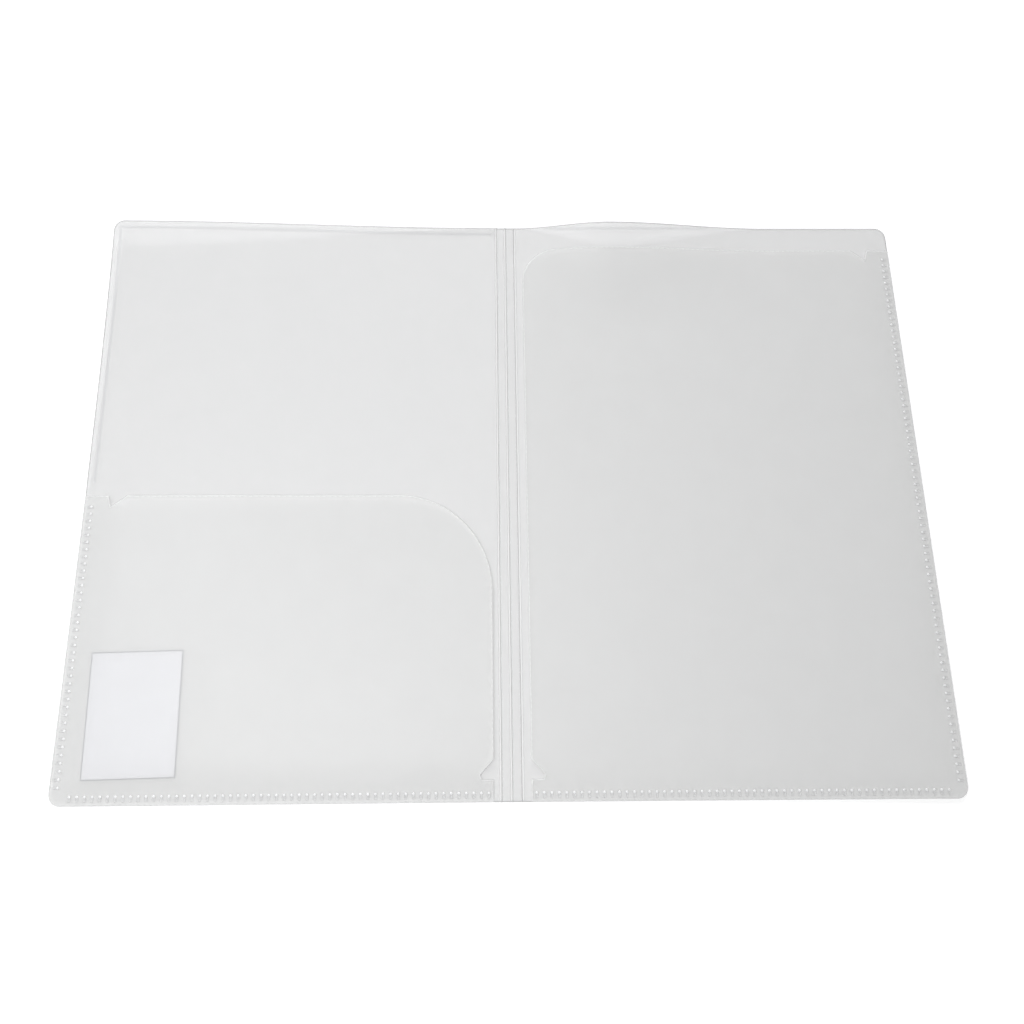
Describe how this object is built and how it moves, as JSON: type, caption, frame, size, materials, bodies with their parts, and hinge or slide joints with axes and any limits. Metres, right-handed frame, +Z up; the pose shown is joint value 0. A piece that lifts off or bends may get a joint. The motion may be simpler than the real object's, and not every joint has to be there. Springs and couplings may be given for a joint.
{
  "type": "two-pocket presentation folder",
  "caption": "Open translucent plastic A4 folder: two covers, creased spine strips, a half-height and a full-height welded pocket, loose blank card.",
  "frame": {"origin": "on the resting surface, under the middle of the open folder", "axes": "+X across the open folder from the half-height pocket to the full-height pocket, +Y up the page to the top edge, +Z up out of the inside face"},
  "size_m": [0.4506, 0.31, 0.0013],
  "materials": {
    "frosted_polypropylene": "translucent frosted polypropylene sheet with a fine matte grain",
    "clear_film": "translucent frosted polypropylene film, slightly glossier than the cover",
    "weld_spots": "clear melted weld spots",
    "card_stock": "smooth white uncoated card stock"
  },
  "bodies": {
    "right_cover": {"right_cover_panel": "frosted_polypropylene", "right_pocket": "clear_film", "right_side_weld": "weld_spots", "right_bottom_weld": "weld_spots"},
    "spine_right": {"spine_strip_right": "frosted_polypropylene", "right_crease": "frosted_polypropylene"},
    "spine_left": {"spine_strip_left": "frosted_polypropylene", "centre_crease": "frosted_polypropylene"},
    "left_cover": {"left_cover_panel": "frosted_polypropylene", "left_crease": "frosted_polypropylene", "left_pocket": "clear_film", "left_side_weld": "weld_spots", "left_bottom_weld": "weld_spots"},
    "card": {"insert_card": "card_stock"}
  },
  "joints": [
    {"name": "right_crease_fold", "type": "hinge", "parent": "right_cover", "child": "spine_right", "pos_m": [0.0053, 0, 0.00025], "axis": [0, 1, 0], "range_deg": [0, 60]},
    {"name": "centre_crease_fold", "type": "hinge", "parent": "spine_right", "child": "spine_left", "pos_m": [0, 0, 0.00025], "axis": [0, 1, 0], "range_deg": [0, 60]},
    {"name": "left_crease_fold", "type": "hinge", "parent": "spine_left", "child": "left_cover", "pos_m": [-0.0053, 0, 0.00025], "axis": [0, 1, 0], "range_deg": [0, 60]},
    {"name": "card_slide", "type": "slide", "parent": "left_cover", "child": "card", "axis": [0, 1, 0], "range_m": [0, 0.1]}
  ]
}
